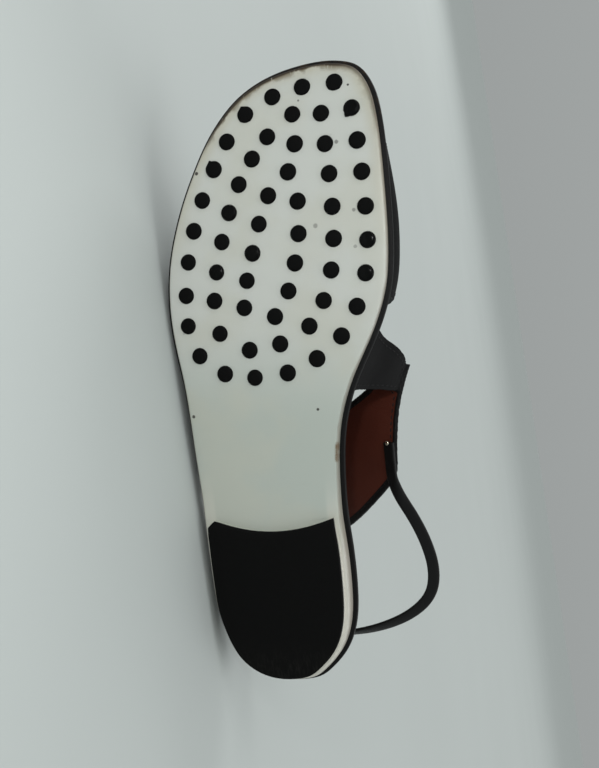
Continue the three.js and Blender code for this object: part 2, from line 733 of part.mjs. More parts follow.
function makeKeeper() {
  const inner = buckleStrapThickness / 2 + clearance;
  const outer = strapLevel + strapThickness / 2 + clearance;
  const shape = roundedRectangle(
    inner + outer + 2 * keeperWall,
    strapWidth + 2 * clearance + 2 * keeperWall,
    keeperWall,
  );
  const hole = roundedRectangle(inner + outer, strapWidth + 2 * clearance, 0.4);
  shape.holes.push(new THREE.Path(hole.getPoints(2).reverse()));
  const geometry = extruded(shape, { depth: keeperWidth, curveSegments: 3 });
  geometry.rotateY(Math.PI / 2);
  geometry.rotateX(Math.PI / 2);
  geometry.translate(keeperPlace - keeperWidth / 2, (outer - inner) / 2, 0);
  return onBuckle(geometry);
}

// Ankle strap: stations with a centre and the direction of the strap's width.
function ankleStations() {
  const under = upperWall / 2 + clearance + strapThickness / 2;
  const onBand = (seat) => {
    const normal = bandNormal(instepBand, seat.turn, seat.place, overlayStep);
    const middle = bandPoint(instepBand, seat.turn, seat.place, overlayStep);
    const ahead = bandPoint(instepBand, seat.turn, seat.place + 0.05, overlayStep);
    const run = ahead.sub(middle).normalize();
    return {
      centre: bandPoint(instepBand, seat.turn, seat.place, overlayStep).addScaledVector(normal, -under),
      width: new THREE.Vector3().crossVectors(normal, run).normalize(),
    };
  };
  const steps = 4;
  const seats = Array.from({ length: steps }, (_, i) => {
    const u = i / (steps - 1);
    return onBand({
      turn: THREE.MathUtils.lerp(ankleStart.turn, ankleLeave.turn, u),
      place: THREE.MathUtils.lerp(ankleStart.place, ankleLeave.place, u),
    });
  });
  const loop = ankleLoop.map((row, i) => {
    const at = (r) => new THREE.Vector3(r.across * ballWidth, r.along * soleLength, r.up * instepHeight);
    const before = at(ankleLoop[Math.max(i - 1, 0)]);
    const after = at(ankleLoop[Math.min(i + 1, ankleLoop.length - 1)]);
    const run = after.sub(before).normalize();
    const level = new THREE.Vector3(0, 0, 1).cross(run).normalize().negate();
    const angle = (row.upright * Math.PI) / 2;
    return {
      centre: at(row),
      width: level.multiplyScalar(Math.cos(angle)).add(new THREE.Vector3(0, 0, Math.sin(angle))),
    };
  });
  const through = [
    { along: -3.2 * barPlace, out: strapUnder * 0.9 },
    { along: -2 * barPlace, out: strapUnder },
    { along: -barPlace - frameBar / 2, out: strapUnder },
    { along: -barPlace + 0.8 * frameBar, out: strapUnder },
    { along: barPlace - 2.2 * foldRadius, out: 0.2 * strapOver },
    { along: barPlace - 1.2 * foldRadius, out: 0.78 * strapOver },
    { along: barPlace, out: 1.04 * strapOver },
    { along: barPlace + 1.1 * foldRadius, out: 0.86 * strapOver },
    { along: keeperPlace - keeperWidth, out: strapLevel + 0.1 },
    { along: keeperPlace, out: strapLevel },
    { along: strapTail, out: strapLevel },
  ].map((row) => ({ centre: bucklePoint(row.along, row.out), width: buckleAcross.clone().negate() }));
  return [...seats, ...loop, ...through];
}

function makeAnkleStrap() {
  const stations = ankleStations();
  const centres = new THREE.CatmullRomCurve3(
    stations.map((station) => station.centre),
    false,
    "centripetal",
  );
  const steps = 48;
  const w = strapWidth / 2;
  const t = strapThickness / 2;
  const c = strapCorner;
  const section = [
    [-w, -t + c],
    [-w + c, -t],
    [w - c, -t],
    [w, -t + c],
    [w, t - c],
    [w - c, t],
    [-w + c, t],
    [-w, t - c],
  ];
  const points = [];
  const faces = [];
  for (let i = 0; i <= steps; i += 1) {
    const u = i / steps;
    const run = centres.getTangent(u);
    const spot = u * (stations.length - 1);
    const k = Math.min(Math.floor(spot), stations.length - 2);
    const blend = stations[k].width.clone().lerp(stations[k + 1].width, spot - k);
    const thick = new THREE.Vector3().crossVectors(run, blend).normalize();
    const width = new THREE.Vector3().crossVectors(thick, run).normalize();
    const centre = centres.getPoint(u);
    for (const [x, y] of section)
      points.push(centre.clone().addScaledVector(width, x).addScaledVector(thick, y));
  }
  const n = section.length;
  for (let i = 0; i < steps; i += 1)
    for (let j = 0; j < n; j += 1) {
      const a = i * n + j;
      const b = i * n + ((j + 1) % n);
      faces.push([a, b, b + n], [a, b + n, a + n]);
    }
  for (let j = 1; j < n - 1; j += 1) {
    faces.push([0, j + 1, j]);
    faces.push([steps * n, steps * n + j, steps * n + j + 1]);
  }
  const strap = solidOf(geometryOf(points, faces));
  const slot = new THREE.BoxGeometry(1.2 * frameLength - 4, 8 * strapThickness, prongDiameter + 2 * clearance);
  slot.translate(0.2 * barPlace, 0, 0);
  return strap.volume() < 0 ? strap : strap.subtract(onBuckle(slot));
}

// Scene: each piece is a mesh of its own
const blackLeather = { color: 0x101013, roughness: 0.5, metalness: 0 };
const pieces = [
  { name: "outsole", make: makeOutsole, look: { color: 0xb9bcb4, roughness: 0.35, metalness: 0 } },
  { name: "stud_sheet", make: makeStudSheet, look: { color: 0x0b0b0b, roughness: 0.45, metalness: 0 } },
  { name: "heel_lift", make: makeHeelLift, look: { color: 0x0b0b0b, roughness: 0.6, metalness: 0 } },
  { name: "midsole", make: makeMidsole, look: blackLeather },
  { name: "insole", make: makeInsole, look: { color: 0x5a2c1c, roughness: 0.6, metalness: 0 } },
  { name: "upper", make: makeUpper, look: blackLeather },
  { name: "ankle_strap", make: makeAnkleStrap, look: blackLeather },
  { name: "buckle_strap", make: makeBuckleStrap, look: blackLeather },
  { name: "buckle_frame", make: makeBuckleFrame, look: { color: 0xc9c2ac, roughness: 0.3, metalness: 1 } },
  { name: "buckle_prong", make: makeBuckleProng, look: { color: 0xc9c2ac, roughness: 0.3, metalness: 1 } },
  { name: "strap_keeper", make: makeKeeper, look: blackLeather },
];

const shoe = new THREE.Group();
let weight = 0;
const massCentre = new THREE.Vector3();
const shellPoints = [];
for (const piece of pieces) {
  const solid = piece.make();
  const made = solid.getMesh();
  const geometry = new THREE.BufferGeometry();
  geometry.setAttribute("position", new THREE.BufferAttribute(new Float32Array(made.vertProperties), 3));
  geometry.setIndex(Array.from(made.triVerts));
  geometry.computeVertexNormals();
  const mesh = new THREE.Mesh(geometry, new THREE.MeshStandardMaterial(piece.look));
  mesh.name = piece.name;
  shoe.add(mesh);
  const position = geometry.attributes.position;
  const corner = [0, 1, 2].map(() => new THREE.Vector3());
  for (let i = 0; i < made.triVerts.length; i += 3) {
    corner.forEach((point, k) => point.fromBufferAttribute(position, made.triVerts[i + k]));
    const volume = corner[0].dot(corner[1].clone().cross(corner[2])) / 6;
    weight += volume;
    corner.forEach((point) => massCentre.addScaledVector(point, volume / 4));
  }
  for (let i = 0; i < position.count; i += 1)
    shellPoints.push(new THREE.Vector3().fromBufferAttribute(position, i));
}
massCentre.divideScalar(weight);

// Rest on the lateral side: the hull face below the centre of mass becomes the floor.
const hull = new ConvexHull().setFromPoints(shellPoints);
const down = new THREE.Vector3(1, 0, 0);
let floor = null;
for (const face of hull.faces) {
  if (face.normal.dot(down) < 0.9) continue;
  const foot = massCentre.clone().addScaledVector(face.normal, face.constant - face.normal.dot(massCentre));
  const corners = [face.getEdge(0), face.getEdge(1), face.getEdge(2)].map((edge) => edge.head().point);
  const inside = corners.every((a, i) => {
    const b = corners[(i + 1) % 3];
    const side = b.clone().sub(a).cross(foot.clone().sub(a)).dot(face.normal);
    return side >= 0;
  });
  if (inside) floor = { normal: face.normal.clone(), corners: corners.map((point) => point.clone()) };
}
const restX = new THREE.Vector3(0, -1, 0);
restX.addScaledVector(floor.normal, -restX.dot(floor.normal)).normalize();
const restZ = floor.normal.clone().negate();
const restY = new THREE.Vector3().crossVectors(restZ, restX);
const turned = new THREE.Matrix4().makeBasis(restX, restY, restZ).transpose();
shoe.applyMatrix4(turned);
shoe.updateMatrixWorld(true);
const box = new THREE.Box3().setFromObject(shoe, true);
const centre = box.getCenter(new THREE.Vector3());
shoe.position.sub(new THREE.Vector3(centre.x, centre.y, box.min.z));

const sandal = new THREE.Group();
sandal.add(shoe);
export default sandal;
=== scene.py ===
import json
import math

import bmesh
import bpy
import numpy as np
from mathutils import Matrix, Vector, noise
from mathutils.bvhtree import BVHTree

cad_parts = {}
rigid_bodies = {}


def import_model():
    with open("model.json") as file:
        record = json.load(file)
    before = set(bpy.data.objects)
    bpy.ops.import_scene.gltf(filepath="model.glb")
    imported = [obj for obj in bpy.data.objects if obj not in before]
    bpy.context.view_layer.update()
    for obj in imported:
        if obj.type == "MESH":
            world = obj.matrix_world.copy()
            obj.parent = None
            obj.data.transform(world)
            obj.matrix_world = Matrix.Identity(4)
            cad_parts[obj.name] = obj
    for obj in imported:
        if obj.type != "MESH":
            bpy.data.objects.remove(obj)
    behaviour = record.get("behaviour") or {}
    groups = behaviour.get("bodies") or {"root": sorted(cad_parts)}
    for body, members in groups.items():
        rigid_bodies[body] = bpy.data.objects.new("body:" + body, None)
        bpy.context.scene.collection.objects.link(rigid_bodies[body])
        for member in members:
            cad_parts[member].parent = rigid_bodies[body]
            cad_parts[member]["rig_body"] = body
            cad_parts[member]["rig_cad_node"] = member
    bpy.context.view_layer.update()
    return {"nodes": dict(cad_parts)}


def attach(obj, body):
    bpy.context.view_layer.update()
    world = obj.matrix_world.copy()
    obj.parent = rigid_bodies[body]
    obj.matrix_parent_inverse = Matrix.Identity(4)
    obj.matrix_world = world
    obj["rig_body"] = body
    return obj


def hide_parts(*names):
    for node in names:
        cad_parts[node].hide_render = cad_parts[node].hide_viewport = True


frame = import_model()

# White outsole
# One moulded sheet of white rubber with a low heel block, glued under the footbed. It has been worn
# outdoors, so its toe edge is scuffed brown and black, and small dark specks sit in its face.
mm = 0.001
shoe_origin = Vector((0.12798, -0.03406, 0.0281))
lateral_way = Vector((-0.12685, 0.03448, -0.99132)).normalized()
toe_way = Vector((-0.99191, 0.0, 0.12692)).normalized()
top_way = lateral_way.cross(toe_way).normalized()
shoe_axes = np.array([lateral_way, toe_way, top_way])
weld = 0.004 * mm
midsole_overhang = 2.0
shoe_length = 261.0


class Wire:
    """One value in a finish: an output of a node, with arithmetic."""

    def __init__(self, finish, socket):
        self.finish = finish
        self.socket = socket

    def maths(self, operation, *values):
        return self.finish.node("ShaderNodeMath", {"operation": operation}, values)

    def __add__(self, other):
        return self.maths("ADD", self, other)

    def __radd__(self, other):
        return self.maths("ADD", other, self)

    def __sub__(self, other):
        return self.maths("SUBTRACT", self, other)

    def __rsub__(self, other):
        return self.maths("SUBTRACT", other, self)

    def __mul__(self, other):
        return self.maths("MULTIPLY", self, other)

    def __rmul__(self, other):
        return self.maths("MULTIPLY", other, self)

    def __gt__(self, other):
        return self.maths("GREATER_THAN", self, other)

    def __lt__(self, other):
        return self.maths("LESS_THAN", self, other)

    def ramp(self, low, high, start=0.0, end=1.0):
        """Turns low..high into start..end, smoothly and clamped."""
        settings = {"interpolation_type": "SMOOTHSTEP"}
        return self.finish.node("ShaderNodeMapRange", settings, (self, low, high, start, end))


class Finish:
    """A material being mixed: its nodes, and the shader that they feed."""

    def __init__(self, name):
        self.material = bpy.data.materials.new(name)
        self.material.use_nodes = True
        self.tree = self.material.node_tree
        self.shader = self.tree.nodes["Principled BSDF"]

    def feed(self, socket, value):
        if isinstance(value, Wire):
            self.tree.links.new(value.socket, socket)
        elif value is not None:
            socket.default_value = value

    def node(self, kind, settings, inputs, output=0):
        made = self.tree.nodes.new(kind)
        for name, value in settings.items():
            setattr(made, name, value)
        named = inputs.items() if isinstance(inputs, dict) else enumerate(inputs)
        for key, value in named:
            self.feed(made.inputs[key], value)
        return Wire(self, made.outputs[output])

    def place(self):
        return self.node("ShaderNodeTexCoord", {}, (), "Object")

    def stretched(self, scale, turn=(0, 0, 0)):
        inputs = {"Vector": self.place(), "Scale": scale, "Rotation": turn}
        return self.node("ShaderNodeMapping", {}, inputs)

    def noise(self, scale, detail=3.0, roughness=0.5, vector=None):
        inputs = {"Vector": vector or self.place(), "Scale": scale, "Detail": detail}
        inputs["Roughness"] = roughness
        return self.node("ShaderNodeTexNoise", {}, inputs, "Fac")

    def cells(self, scale, output="Distance", feature="F1"):
        inputs = {"Vector": self.place(), "Scale": scale}
        return self.node("ShaderNodeTexVoronoi", {"feature": feature}, inputs, output)

    def stored(self, name):
        return self.node("ShaderNodeAttribute", {"attribute_name": name}, (), "Fac")

    def blend(self, share, first, second):
        """The first colour where the share is 0, and the second where it is 1."""
        settings = {"data_type": "RGBA", "clamp_factor": True}
        return self.node("ShaderNodeMix", settings, {0: share, 6: first, 7: second}, 2)

    def spot(self, place, radius):
        """1 inside a ragged spot round a place in metres, and 0 outside it."""
        settings = {"operation": "DISTANCE"}
        away = self.node("ShaderNodeVectorMath", settings, (self.place(), place), "Value")
        torn = away + 0.5 * radius * self.noise(1600.0)
        return torn.ramp(1.25 * radius, 0.85 * radius)

    def relief(self, height, strength, depth):
        """Fine relief in the surface, its depth in metres."""
        inputs = {"Strength": strength, "Distance": depth, "Height": height}
        return self.node("ShaderNodeBump", {}, inputs)

    def surface(self, **values):
        for name, value in values.items():
            self.feed(self.shader.inputs[name.replace("_", " ")], value)
        return self.material


def tone(*levels):
    """A colour from its red, green and blue on screen, 0 to 255, as linear light."""
    linear = [((v / 255 + 0.055) / 1.055) ** 2.4 if v > 10 else v / 255 / 12.92 for v in levels]
    return (*linear, 1.0)


def only(piece):
    bpy.ops.object.select_all(action="DESELECT")
    piece.select_set(True)
    bpy.context.view_layer.objects.active = piece


def begin_from(node, name):
    """A new piece on the form of a CAD node, with its loose triangles joined."""
    only(frame["nodes"][node])
    bpy.ops.object.duplicate()
    piece = bpy.context.active_object
    piece.name = name
    piece.data.name = name
    piece.parent = None
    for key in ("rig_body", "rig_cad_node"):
        if key in piece:
            del piece[key]
    only(piece)
    bpy.ops.object.mode_set(mode="EDIT")
    bpy.ops.mesh.select_all(action="SELECT")
    bpy.ops.mesh.remove_doubles(threshold=weld)
    bpy.ops.mesh.customdata_custom_splitnormals_clear()
    bend, skew = math.radians(12), math.radians(60)
    bpy.ops.mesh.tris_convert_to_quads(face_threshold=bend, shape_threshold=skew)
    bpy.ops.object.mode_set(mode="OBJECT")
    return piece


def refine(piece, sharp, levels, crease=1.0):
    """Rounds a piece by subdivision and keeps the edges sharper than the angle in degrees."""
    only(piece)
    bpy.ops.object.mode_set(mode="EDIT")
    bpy.ops.mesh.select_mode(type="EDGE")
    bpy.ops.mesh.select_all(action="DESELECT")
    bpy.ops.mesh.edges_select_sharp(sharpness=math.radians(sharp))
    bpy.ops.transform.edge_crease(value=crease)
    bpy.ops.object.mode_set(mode="OBJECT")
    rounding = piece.modifiers.new("rounding", "SUBSURF")
    rounding.levels = rounding.render_levels = levels
    bpy.ops.object.modifier_apply(modifier="rounding")
    bpy.ops.object.shade_smooth_by_angle(angle=math.radians(38))


def in_shoe(across, along, up):
    """The place of a point that is given in the shoe's own frame, in millimetres."""
    return shoe_origin + (lateral_way * across + toe_way * along + top_way * up) * mm


def shoe_places(piece):
    """Each vertex in the shoe's own frame, in millimetres: lateral, towards the toe, up."""
    spots = np.empty(3 * len(piece.data.vertices))
    piece.data.vertices.foreach_get("co", spots)
    return (spots.reshape(-1, 3) - np.array(shoe_origin)) @ shoe_axes.T / mm


def rim_segments():
    """The outline of the footbed from below, as pairs of points in the shoe's plane."""
    cast = bmesh.new()
    cast.from_mesh(frame["nodes"]["midsole"].data)
    bmesh.ops.remove_doubles(cast, verts=cast.verts, dist=weld)
    cast.normal_update()
    found = []
    for edge in cast.edges:
        facing = [face.normal.dot(top_way) for face in edge.link_faces]
        if len(facing) == 2 and min(facing) < -0.02 and max(facing) > 0.02:
            ends = [(Vector(v.co) - shoe_origin) / mm for v in edge.verts]
            found.append([[p.dot(lateral_way), p.dot(toe_way)] for p in ends])
    cast.free()
    return np.array(found)


rim = rim_segments()


def from_rim(spots):
    """How far each spot lies inside the edge of the outsole, in millimetres."""
    flat = spots[:, None, :2]
    start = rim[None, :, 0]
    run = rim[None, :, 1] - start
    along = np.clip(((flat - start) * run).sum(2) / (run**2).sum(2), 0, 1)
    gap = np.linalg.norm(flat - start - along[..., None] * run, axis=2)
    return gap.min(1) - midsole_overhang


def store(piece, name, values):
    column = piece.data.attributes.new(name, "FLOAT", "POINT")
    column.data.foreach_set("value", np.asarray(values, np.float32))


def fit(piece, slot, *nodes):
    """Fixes a finished piece to the shoe, in place of the nodes that it stands for."""
    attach(piece, "root")
    if nodes:
        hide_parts(*nodes)


def coat(piece, *materials):
    piece.data.materials.clear()
    for material in materials:
        piece.data.materials.append(material)


outsole = begin_from("outsole", "white_outsole")
refine(outsole, 50, 2)
spots = shoe_places(outsole)
store(outsole, "rim", from_rim(spots))
store(outsole, "toe", spots[:, 1] / shoe_length)
store(outsole, "side", spots[:, 0])

# Nicks, smears and bare places of the tread, from toe to heel.
sole_marks = (
    {"across": -34.2, "along": 250.1, "up": 3.7, "size": 0.6, "dirt": 0.95},
    {"across": -13.2, "along": 245.7, "up": 3.2, "size": 0.55, "dirt": 0.7},
    {"across": -29.3, "along": 227.2, "up": 1.7, "size": 1.0, "dirt": 0.6},
    {"across": 32.3, "along": 219.1, "up": 1.4, "size": 0.95, "dirt": 0.95},
    {"across": -36.0, "along": 199.3, "up": 1.2, "size": 0.9, "dirt": 0.5},
    {"across": -19.7, "along": 193.8, "up": 1.2, "size": 1.2, "dirt": 0.45},
    {"across": -36.3, "along": 184.5, "up": 1.2, "size": 0.9, "dirt": 0.4},
    {"across": -18.7, "along": 118.0, "up": 1.4, "size": 0.75, "dirt": 0.95},
    {"across": 37.4, "along": 114.9, "up": 1.6, "size": 0.9, "dirt": 0.9},
)
rubbed_place = in_shoe(-27.0, 100.0, 2.8)

white = Finish("white_rubber")
edge = white.stored("rim")
toe = white.stored("toe")
scuff_side = white.stored("side").ramp(-42, -26, 0.3)
cloud = white.noise(28.0, 4.0)
grime = white.noise(160.0, 6.0, 0.65)
streak = white.noise(1.0, 4.0, 0.6, white.stretched((260.0, 260.0, 900.0)))
clean = white.blend(toe.ramp(0.42, 0.62), tone(183, 190, 182), tone(204, 206, 200))
border = edge.ramp(6.5, 4.5) * toe.ramp(0.36, 0.2)
bordered = white.blend(border, clean, tone(216, 214, 205))
clouded = white.blend(cloud.ramp(0.42, 0.62) * 0.4, bordered, tone(196, 195, 180))
near_edge = edge.ramp(7.0, 0.0) * toe.ramp(0.6, 0.95)
beige = white.blend(near_edge * (0.2 + 0.6 * grime), clouded, tone(178, 168, 140))
patch = white.noise(95.0, 4.0, 0.6)
scuff = edge.ramp(1.7 + 2.8 * patch.ramp(0.4, 0.6), 0.7) * toe.ramp(0.86, 0.93) * streak.ramp(0.25, 0.42)
smeared = white.blend(scuff * scuff_side, beige, tone(104, 90, 64))
scuffed = white.blend(edge.ramp(1.9, 1.1) * scuff * scuff_side, smeared, tone(56, 45, 32))
speck_size = white.cells(75.0)
speck_pick = white.cells(75.0, "Color")
speck = (speck_size < 0.035 + 0.02 * grime) * (speck_pick > 0.66) * toe.ramp(0.5, 0.7)
dirt = speck * 0.6
for mark in sole_marks:
    place = in_shoe(mark["across"], mark["along"], mark["up"])
    dirt = dirt + white.spot(place, mark["size"] * mm) * mark["dirt"]
specked = white.blend(dirt, scuffed, tone(48, 42, 38))
bare = white.spot(rubbed_place, 5.0 * mm) * edge.ramp(1.5, 0.6) * grime.ramp(0.35, 0.55)
rubbed = white.blend(bare, specked, tone(112, 90, 62))
# A thin brownish line along the very rim: partly painted shade of the sole's side wall, partly wear.
rim_shade_and_wear = white.blend(edge.ramp(0.9, 0.1) * 0.6, rubbed, tone(96, 84, 66))
worn_line = edge.ramp(1.3, 0.4) * toe.ramp(0.87, 0.93) * (0.55 + 0.45 * streak) * scuff_side
edged = white.blend(worn_line, rim_shade_and_wear, tone(38, 29, 22))
scratch = white.noise(1.0, 3.0, 0.6, white.stretched((900.0, 300.0, 90.0), (0, 0.5, 0)))
grain = white.noise(1400.0, 3.0)
height = grain * 0.25 + cloud * 1.6 - scratch.ramp(0.6, 0.75) * 0.5 - scuff * 1.5 - dirt * 0.6
coat(
    outsole,
    white.surface(
        Base_Color=edged,
        Roughness=0.25 + 0.1 * cloud + 0.35 * scuff + 0.12 * grime + 0.3 * dirt,
        Normal=white.relief(height, 0.25, 0.15 * mm),
    ),
)
fit(outsole, "white_rubber", "outsole")

# Rubber studs
# Fifty-five black rubber domes on a sheet behind the forefoot. They stand through round holes in the
# white sole, and a few keep a little flash from the mould.
stud_radius = 3.4 * mm
stud_skirt = 3.62 * mm
stud_height = 1.25 * mm
stud_profile = ((1.0, 0.3), (0.985, 0.62), (0.9, 0.86), (0.72, 0.97), (0.4, 1.03))
dome_sides = 28
stud_lean = 0.02
stud_swell = 0.012
# Studs with a torn nib of flash at one side: place in the shoe, turn from the lateral side and spread in
# degrees, and reach as a share of the radius.
stud_nibs = (
    {"across": -35.8, "along": 241.2, "turn": -53, "spread": 26, "reach": 1.36},
    {"across": 10.0, "along": 242.2, "turn": 65, "spread": 16, "reach": 1.16},
    {"across": 24.3, "along": 219.9, "turn": 62, "spread": 14, "reach": 1.24},
)
# Studs that are still as glossy as new, by place, and how near a listed place has to be.
glossy_studs = ((-35.6, 240.8), (17.6, 201.4), (8.0, 184.2), (24.5, 177.3), (-41.8, 187.0), (-40.6, 173.8))
same_stud = 4.0


def stud_tops():
    """The middle of each small flat top of the CAD studs, from the toe to the heel."""
    cast = bmesh.new()
    cast.from_mesh(frame["nodes"]["stud_sheet"].data)
    bmesh.ops.remove_doubles(cast, verts=cast.verts, dist=weld)
    cast.normal_update()
    cast.verts.index_update()
    flat = {face for face in cast.faces if face.normal.dot(top_way) < -0.995}
    middles = []
    while flat:
        island = {flat.pop()}
        edge_of = set(island)
        while edge_of:
            beside = {f for face in edge_of for e in face.edges for f in e.link_faces} & flat
            flat -= beside
            island |= beside
            edge_of = beside
        corners = sorted({v for face in island for v in face.verts}, key=lambda v: v.index)
        middle = sum((v.co for v in corners), Vector()) / len(corners)
        if max((v.co - middle).length for v in corners) < 3 * mm:
            middles.append(middle)
    cast.free()
    return sorted(middles, key=lambda middle: middle.x)


def make_dome(radius, height, skirt, profile):
    """One round head at the origin, closed, with its dome along -Z."""
    bpy.ops.object.select_all(action="DESELECT")
    bpy.ops.mesh.primitive_circle_add(vertices=dome_sides, radius=skirt, fill_type="NOTHING")
    dome = bpy.context.active_object
    bpy.ops.object.mode_set(mode="EDIT")
    bpy.ops.mesh.select_all(action="SELECT")
    width = skirt
    depth = 0.0
    for share, rise in profile:
        drop = rise * height - depth
        bpy.ops.mesh.extrude_region_move(TRANSFORM_OT_translate={"value": (0, 0, -drop)})
        bpy.ops.transform.resize(value=(share * radius / width,) * 2 + (1,))
        width = share * radius
        depth += drop
    bpy.ops.mesh.extrude_region_move(TRANSFORM_OT_translate={"value": (0, 0, -0.02 * height)})
    bpy.ops.mesh.merge(type="CENTER")
    bpy.ops.mesh.select_all(action="DESELECT")
    bpy.ops.mesh.select_non_manifold()
    bpy.ops.mesh.edge_face_add()
    bpy.ops.mesh.select_all(action="SELECT")
    bpy.ops.mesh.normals_make_consistent(inside=False)
    bpy.ops.object.mode_set(mode="OBJECT")
    return dome


def copy_of(pattern):
    """A copy of a pattern piece with its own mesh."""
    piece = pattern.copy()
    piece.data = pattern.data.copy()
    bpy.context.collection.objects.link(piece)
    return piece


def joined(pieces, name):
    bpy.ops.object.select_all(action="DESELECT")
    for piece in pieces:
        piece.select_set(True)
    bpy.context.view_layer.objects.active = pieces[0]
    bpy.ops.object.join()
    whole = bpy.context.active_object
    whole.name = name
    return whole


def draw_nib(stud, nib):
    """Pulls the side of a stud out into a small point."""
    for vertex in stud.data.vertices:
        x, y, z = vertex.co
        off = abs((math.degrees(math.atan2(y, x)) - nib["turn"] + 180) % 360 - 180)
        if off < nib["spread"]:
            pull = 1 + (nib["reach"] - 1) * (1 - off / nib["spread"])
            vertex.co = (x * pull, y * pull, z)


pattern = make_dome(stud_radius, stud_height, stud_skirt, stud_profile)
chance = np.random.default_rng(7)
stud_copies = []
turn_to_sole = Matrix((lateral_way, toe_way, top_way)).transposed().to_4x4()
for top in stud_tops():
    stud = copy_of(pattern)
    lean = Matrix.Rotation(chance.normal(0, stud_lean), 4, "X")
    lean = lean @ Matrix.Rotation(chance.normal(0, stud_lean), 4, "Y")
    swell = Matrix.Scale(1 + chance.normal(0, stud_swell), 4)
    seat = Matrix.Translation(top + top_way * stud_height)
    across, along = ((top - shoe_origin).dot(way) / mm for way in (lateral_way, toe_way))
    for nib in stud_nibs:
        if math.hypot(nib["across"] - across, nib["along"] - along) < same_stud:
            draw_nib(stud, nib)
    stud.data.transform(seat @ turn_to_sole @ lean @ swell)
    glossy = min(math.hypot(x - across, y - along) for x, y in glossy_studs) < same_stud
    store(stud, "shade", np.full(len(stud.data.vertices), 1.0 if glossy else 0.6 * chance.random()))
    stud_copies.append(stud)
bpy.data.objects.remove(pattern)
studs = joined(stud_copies, "rubber_studs")
bpy.ops.object.shade_smooth_by_angle(angle=math.radians(50))

dull = 0.08
black = Finish("black_rubber")
shade = black.stored("shade")
dust = black.noise(420.0, 5.0, 0.6)
pits = black.noise(2600.0, 2.0)
coat(
    studs,
    black.surface(
        Base_Color=black.blend(dust.ramp(0.62, 0.8) * 0.15, tone(8, 8, 8), tone(46, 45, 42)),
        Specular_IOR_Level=dull,
        Roughness=shade.ramp(0.6, 1.0, 0.62, 0.1) + 0.1 * dust,
        Normal=black.relief(pits * 0.4 + dust, 0.2, 0.08 * mm),
    ),
)
fit(studs, "black_rubber", "stud_sheet")

# Heel lift
# A black rubber top piece under the heel, cut with a hollow front edge. Walking has left it matt and
# lightly scoured, with a paler worn band at the back.
lift = begin_from("heel_lift", "black_heel_lift")
refine(lift, 50, 2)
spots = shoe_places(lift)
store(lift, "back", spots[:, 1])

worn = Finish("worn_black_rubber")
back = worn.stored("back")
scour = worn.noise(1.0, 5.0, 0.65, worn.stretched((300.0, 300.0, 1400.0)))
pores = worn.noise(900.0, 4.0, 0.6)
wear = back.ramp(22.0, 2.0) * scour.ramp(0.42, 0.7)
coat(
    lift,
    worn.surface(
        Base_Color=worn.blend(wear * 0.4 + 0.06 * pores, tone(7, 7, 7), tone(40, 39, 37)),
        Specular_IOR_Level=dull,
        Roughness=0.5 + 0.2 * scour,
        Normal=worn.relief(pores + 0.6 * scour, 0.3, 0.12 * mm),
    ),
)
fit(lift, "black_rubber", "heel_lift")

# Footbed edge
# The footbed board is wrapped in black leather, which shows as a rounded edge all round the sole. At
# the toe it is rubbed down to the brown of the hide.
midsole = begin_from("midsole", "wrapped_footbed_edge")
refine(midsole, 60, 2)
spots = shoe_places(midsole)
store(midsole, "rim", from_rim(spots))
store(midsole, "toe", spots[:, 1] / shoe_length)


def leather(name, dark, light, gloss):
    """Smooth calf with a fine grain: its finish, its grain relief and its cloudiness."""
    finish = Finish(name)
    grain = finish.cells(1500.0, "Distance", "DISTANCE_TO_EDGE")
    fine = finish.noise(3200.0, 2.0)
    soft = finish.noise(60.0, 4.0)
    pull = finish.noise(1.0, 4.0, 0.6, finish.stretched((500.0, 180.0, 180.0)))
    height = grain.ramp(0.0, 0.12) * 0.5 + fine * 0.3 + pull * 0.8
    colour = finish.blend(soft * 0.6 + 0.2 * grain, dark, light)
    return finish, colour, height, gloss + 0.14 * soft


binding, colour, height, rough = leather("black_edge_leather", tone(8, 8, 9), tone(22, 22, 22), 0.4)
edge = binding.stored("rim")
toe = binding.stored("toe")
rub = binding.noise(1.0, 5.0, 0.65, binding.stretched((240.0, 240.0, 420.0)))
bare = edge.ramp(0.4, -1.7) * toe.ramp(0.88, 0.97) * rub.ramp(0.4, 0.75)
coat(
    midsole,
    binding.surface(
        Base_Color=binding.blend(bare * 0.75, colour, tone(76, 58, 40)),
        Specular_IOR_Level=2 * dull,
        Roughness=rough + 0.3 * bare,
        Normal=binding.relief(height - bare, 0.3, 0.12 * mm),
    ),
)
fit(midsole, "black_leather", "midsole")

# Insole
# A sock of brown leather glued on the footbed, darkened and polished where heel and ball press.
ball_from_heel = 170.0
ball_radius = 34.0
heel_middle = 36.0
heel_print = (24.0, 30.0)
insole = begin_from("insole", "brown_insole")
refine(insole, 50, 2)
spots = shoe_places(insole)
ball = np.hypot(spots[:, 0] / ball_radius, (spots[:, 1] - ball_from_heel) / ball_radius)
heel = np.hypot(spots[:, 0] / heel_print[0], (spots[:, 1] - heel_middle) / heel_print[1])
store(insole, "press", np.exp(-(ball**2)) + np.exp(-(heel**2)))
brown, colour, height, rough = leather("brown_insole_leather", tone(98, 48, 33), tone(124, 66, 46), 0.42)
press = brown.stored("press")
coat(
    insole,
    brown.surface(
        Base_Color=brown.blend(press * 0.55, colour, tone(62, 32, 22)),
        Specular_IOR_Level=0.3,
        Roughness=rough - 0.1 * press,
        Normal=brown.relief(height, 0.3, 0.12 * mm),
    ),
)
fit(insole, "brown_leather", "insole")

# Upper
# Two wide bands and a narrow medial strap of black calf, lined with brown leather. The lining stops
# short of the folded black edges.
upper = begin_from("upper", "leather_upper")


